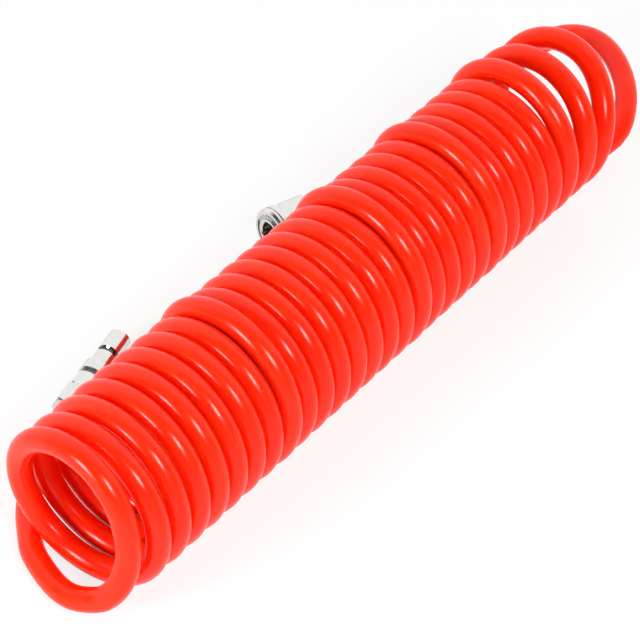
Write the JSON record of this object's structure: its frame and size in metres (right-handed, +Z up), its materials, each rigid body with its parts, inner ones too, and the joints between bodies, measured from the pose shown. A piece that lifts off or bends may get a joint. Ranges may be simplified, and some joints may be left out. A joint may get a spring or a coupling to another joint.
{
  "type": "coiled air hose",
  "caption": "Coiled polyurethane air hose with a quick-connect plug on one end and a sleeve-locked socket on the other, lying closed on its side.",
  "frame": {"origin": "on the floor, at the flat under the coil's middle turn", "axes": "+X along the coil's axis from its open near end to its fanned end, +Y to the side on which the fittings lie, +Z up"},
  "size_m": [0.4788, 0.1364, 0.0912],
  "materials": {
    "hose": "glossy red-orange polyurethane",
    "plug_metal": "bright nickel plate",
    "socket_metal": "bright nickel plate",
    "sleeve_metal": "bright nickel plate, finely turned",
    "nut_metal": "bright nickel plate",
    "clamp_ring": "turned brass",
    "seal": "matt black",
    "spring_steel": "drawn wire",
    "ball_steel": "polished",
    "valve_brass": "turned brass"
  },
  "bodies": {
    "root": {"hose_coil": "hose", "hose_lead_plug_end": "hose", "hose_lead_socket_end": "hose", "plug_body": "plug_metal", "socket_body": "socket_metal", "socket_adaptor": "socket_metal", "socket_body_seal": "seal", "plug_seal_ring": "seal", "sleeve_stop_ring": "spring_steel", "sleeve_spring": "spring_steel", "valve_spring": "spring_steel"},
    "sleeve": {"locking_sleeve": "sleeve_metal"},
    "valve": {"valve_poppet": "valve_brass", "valve_seal": "seal"},
    "plug_ring": {"plug_clamp_ring": "clamp_ring"},
    "plug_nut": {"plug_union_nut": "nut_metal"},
    "socket_ring": {"socket_clamp_ring": "clamp_ring"},
    "socket_nut": {"socket_union_nut": "nut_metal"},
    "ball_1": {"locking_ball_1": "ball_steel"},
    "ball_2": {"locking_ball_2": "ball_steel"},
    "ball_3": {"locking_ball_3": "ball_steel"},
    "ball_4": {"locking_ball_4": "ball_steel"},
    "ball_5": {"locking_ball_5": "ball_steel"},
    "ball_6": {"locking_ball_6": "ball_steel"}
  },
  "joints": [
    {"name": "sleeve_slide", "type": "slide", "parent": "root", "child": "sleeve", "axis": [0.9687, -0.2326, -0.0872], "range_m": [0, 0.004], "stiffness_N_per_m": 2000, "springref_m": -0.004, "deforming": ["sleeve_spring"]},
    {"name": "valve_slide", "type": "slide", "parent": "root", "child": "valve", "axis": [0.9687, -0.2326, -0.0872], "range_m": [0, 0.004], "stiffness_N_per_m": 600, "springref_m": -0.005, "deforming": ["valve_spring"]},
    {"name": "plug_ring_slide", "type": "slide", "parent": "root", "child": "plug_ring", "axis": [-0.9694, -0.2453, 0], "range_m": [0, 0.005]},
    {"name": "plug_nut_turn", "type": "hinge", "parent": "plug_ring", "child": "plug_nut", "pos_m": [-0.10695, 0.07518, 0.0083], "axis": [-0.9694, -0.2453, 0], "range_deg": [0, 1800]},
    {"name": "socket_ring_slide", "type": "slide", "parent": "root", "child": "socket_ring", "axis": [0.9687, -0.2326, -0.0872], "range_m": [0, 0.005]},
    {"name": "socket_nut_turn", "type": "hinge", "parent": "socket_ring", "child": "socket_nut", "pos_m": [0.0785, 0.06153, 0.01104], "axis": [0.9687, -0.2326, -0.0872], "range_deg": [0, 1800]},
    {"name": "ball_1_slide", "type": "slide", "parent": "root", "child": "ball_1", "axis": [0.2334, 0.9724, 0], "range_m": [0, 0.0011]},
    {"name": "ball_2_slide", "type": "slide", "parent": "root", "child": "ball_2", "axis": [0.1901, 0.4686, 0.8627], "range_m": [0, 0.0011]},
    {"name": "ball_3_slide", "type": "slide", "parent": "root", "child": "ball_3", "axis": [-0.0433, -0.5038, 0.8627], "range_m": [0, 0.0011]},
    {"name": "ball_4_slide", "type": "slide", "parent": "root", "child": "ball_4", "axis": [-0.2334, -0.9724, 0], "range_m": [0, 0.0011]},
    {"name": "ball_5_slide", "type": "slide", "parent": "root", "child": "ball_5", "axis": [-0.1901, -0.4686, -0.8627], "range_m": [0, 0.0011]},
    {"name": "ball_6_slide", "type": "slide", "parent": "root", "child": "ball_6", "axis": [0.0433, 0.5038, -0.8627], "range_m": [0, 0.0011]}
  ],
  "couplings": [
    {"joint": "plug_nut_turn", "follows": "plug_ring_slide", "rad_per_m": 6283.2},
    {"joint": "socket_nut_turn", "follows": "socket_ring_slide", "rad_per_m": 6283.2},
    {"joint": "ball_1_slide", "follows": "sleeve_slide", "ratio": 0.275},
    {"joint": "ball_2_slide", "follows": "sleeve_slide", "ratio": 0.275},
    {"joint": "ball_3_slide", "follows": "sleeve_slide", "ratio": 0.275},
    {"joint": "ball_4_slide", "follows": "sleeve_slide", "ratio": 0.275},
    {"joint": "ball_5_slide", "follows": "sleeve_slide", "ratio": 0.275},
    {"joint": "ball_6_slide", "follows": "sleeve_slide", "ratio": 0.275}
  ]
}
